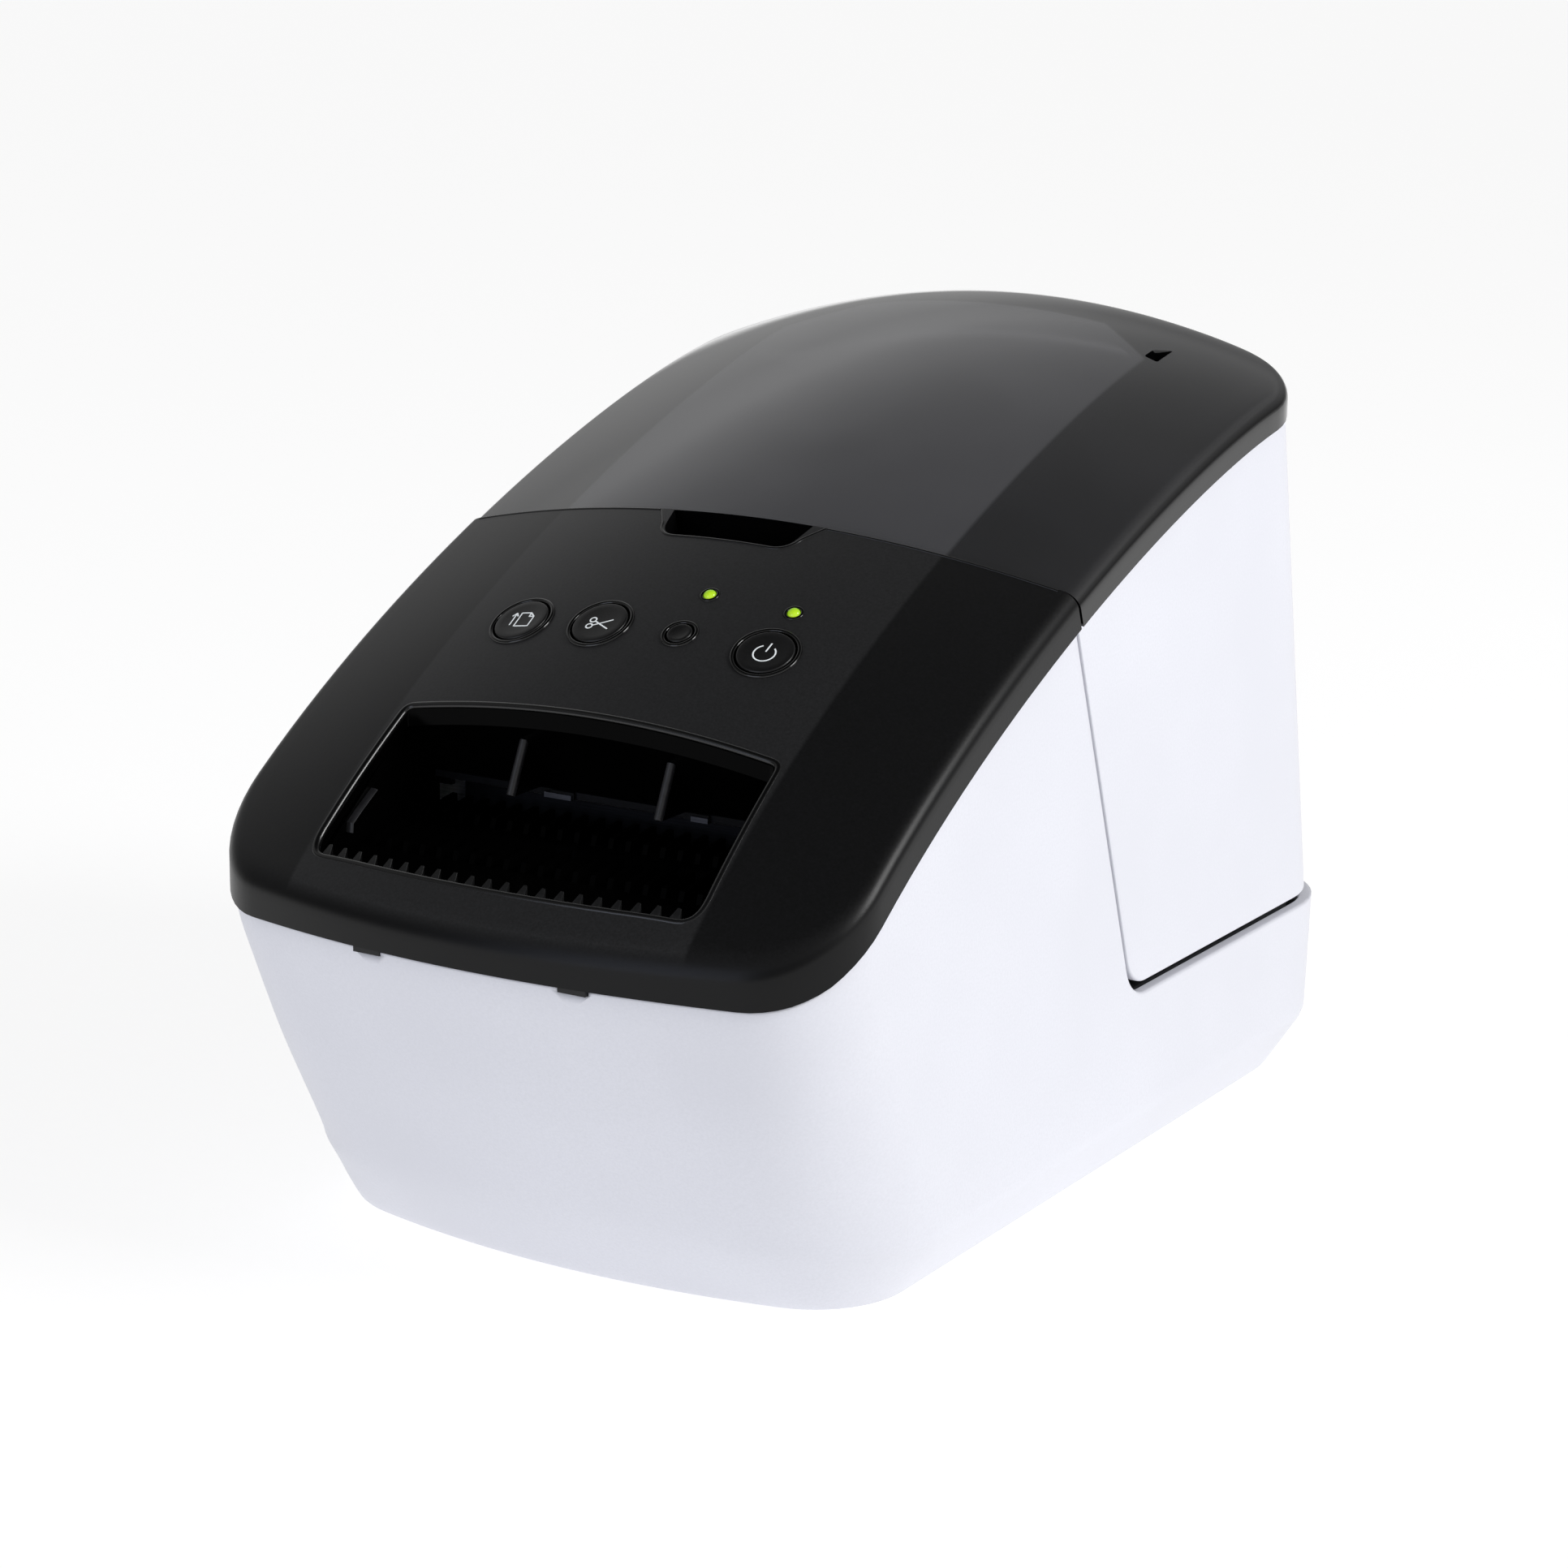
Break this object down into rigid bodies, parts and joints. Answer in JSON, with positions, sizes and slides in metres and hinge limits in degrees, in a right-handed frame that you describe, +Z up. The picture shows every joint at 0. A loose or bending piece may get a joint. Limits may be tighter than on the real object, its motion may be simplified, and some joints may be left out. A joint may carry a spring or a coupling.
{
  "type": "label printer",
  "caption": "Desktop mains label printer: white case, black sloping control panel, smoked lid that swings up at the rear, ribbed label outlet, print and cutter works inside.",
  "frame": {"origin": "on the surface that it stands on, under the middle of the whole printer", "axes": "+X to the right hand of someone facing the front, -Y out of the front (the label outlet), +Z up"},
  "size_m": [0.128, 0.2208, 0.1538],
  "materials": {
    "white_case": "satin white moulded plastic with a cool tint",
    "foot_rubber": "matt black rubber pad",
    "steel": "plain rolled steel",
    "gloss_black": "polished black moulded plastic",
    "circuit_board": "green solder mask",
    "dark_plastic": "dark grey moulded plastic",
    "core_board": "brown pressed cardboard",
    "label_paper": "matt white label paper, tightly wound",
    "roller_rubber": "ground black rubber",
    "nylon": "natural nylon",
    "motor_can": "drawn steel can",
    "ceramic": "glazed ceramic",
    "aluminium": "extruded aluminium",
    "black_panel": "fine-grained satin black plastic",
    "button_black": "satin black key with a glossy ring",
    "lens_green": "lit yellow-green indicator",
    "smoked_cover": "smoked clear glossy acrylic",
    "inner_black": "black moulded plastic under the cover"
  },
  "bodies": {
    "base": {"base_housing": "white_case", "bottom_plate": "white_case", "foot_front_left": "foot_rubber", "foot_front_right": "foot_rubber", "foot_rear_left": "foot_rubber", "foot_rear_right": "foot_rubber", "screw_front_left": "steel", "screw_front_right": "steel", "screw_rear_left": "steel", "screw_rear_right": "steel", "mains_inlet": "gloss_black", "data_port": "steel", "power_board": "circuit_board", "main_board": "circuit_board", "roll_cradle": "dark_plastic", "spool_arm_left": "dark_plastic", "spool_arm_right": "dark_plastic", "mech_deck": "dark_plastic", "side_frame_left": "steel", "side_frame_right": "steel", "crossbar": "steel", "platen_bush_left": "nylon", "platen_bush_right": "nylon", "feed_motor": "motor_can", "head_pivot_shaft": "steel", "head_spring_left": "steel", "head_spring_right": "steel", "cutter_frame": "steel", "fixed_blade": "steel", "cutter_motor": "motor_can", "cutter_guard": "steel", "outlet_chute": "gloss_black", "outlet_floor": "gloss_black", "front_panel": "black_panel", "panel_board": "circuit_board", "status_lens": "lens_green", "power_lens": "lens_green"},
    "lid": {"lid_cover": "smoked_cover", "lid_inner_frame": "inner_black", "lid_shell": "white_case", "hinge_pin_left": "steel", "hinge_pin_right": "steel"},
    "roll": {"roll_core": "core_board", "label_paper": "label_paper"},
    "platen": {"platen_roller": "roller_rubber", "platen_shaft": "steel", "platen_gear": "nylon"},
    "idler": {"idler_gear": "nylon"},
    "pinion": {"motor_pinion": "steel"},
    "head": {"print_head": "ceramic", "head_heatsink": "aluminium", "head_bracket": "steel"},
    "blade": {"moving_blade": "steel"},
    "cutter_drive": {"cutter_gear": "nylon"},
    "feed_key": {"feed_button": "button_black"},
    "cut_key": {"cut_button": "button_black"},
    "mode_key": {"mode_button": "button_black"},
    "power_key": {"power_button": "button_black"}
  },
  "joints": [
    {"name": "lid_hinge", "type": "hinge", "parent": "base", "child": "lid", "pos_m": [0, 0.0966, 0.042], "axis": [-1, 0, 0], "range_deg": [0, 65]},
    {"name": "roll_spin", "type": "hinge", "parent": "base", "child": "roll", "pos_m": [0, 0.028, 0.087], "axis": [1, 0, 0], "continuous": true},
    {"name": "platen_spin", "type": "hinge", "parent": "base", "child": "platen", "pos_m": [0, -0.046, 0.072], "axis": [1, 0, 0], "continuous": true},
    {"name": "idler_spin", "type": "hinge", "parent": "base", "child": "idler", "pos_m": [0, -0.03087, 0.05743], "axis": [1, 0, 0], "continuous": true},
    {"name": "motor_spin", "type": "hinge", "parent": "base", "child": "pinion", "pos_m": [0, -0.038, 0.042], "axis": [1, 0, 0], "continuous": true},
    {"name": "head_lift", "type": "hinge", "parent": "base", "child": "head", "pos_m": [0, -0.03, 0.088], "axis": [-1, 0, 0], "range_deg": [0, 5], "stiffness_Nm_per_rad": 1, "springref_deg": -5.73, "deforming": ["head_spring_left", "head_spring_right"]},
    {"name": "cutter_slide", "type": "slide", "parent": "base", "child": "blade", "axis": [0, 0, -1], "range_m": [0, 0.005]},
    {"name": "cutter_gear_spin", "type": "hinge", "parent": "base", "child": "cutter_drive", "pos_m": [-0.046, -0.06, 0.084], "axis": [0, 1, 0], "range_deg": [0, 60]},
    {"name": "feed_press", "type": "slide", "parent": "base", "child": "feed_key", "axis": [0.1107, 0.495, -0.8618], "range_m": [0, 0.0007], "stiffness_N_per_m": 600},
    {"name": "cut_press", "type": "slide", "parent": "base", "child": "cut_key", "axis": [0.042, 0.4976, -0.8664], "range_m": [0, 0.0007], "stiffness_N_per_m": 600},
    {"name": "mode_press", "type": "slide", "parent": "base", "child": "mode_key", "axis": [-0.0265, 0.4978, -0.8669], "range_m": [0, 0.0007], "stiffness_N_per_m": 600},
    {"name": "power_press", "type": "slide", "parent": "base", "child": "power_key", "axis": [-0.0983, 0.4956, -0.863], "range_m": [0, 0.0007], "stiffness_N_per_m": 600}
  ],
  "couplings": [
    {"joint": "idler_spin", "follows": "platen_spin", "ratio": -0.90909},
    {"joint": "motor_spin", "follows": "platen_spin", "ratio": 1.6667},
    {"joint": "cutter_gear_spin", "follows": "cutter_slide", "rad_per_m": 208.33}
  ]
}
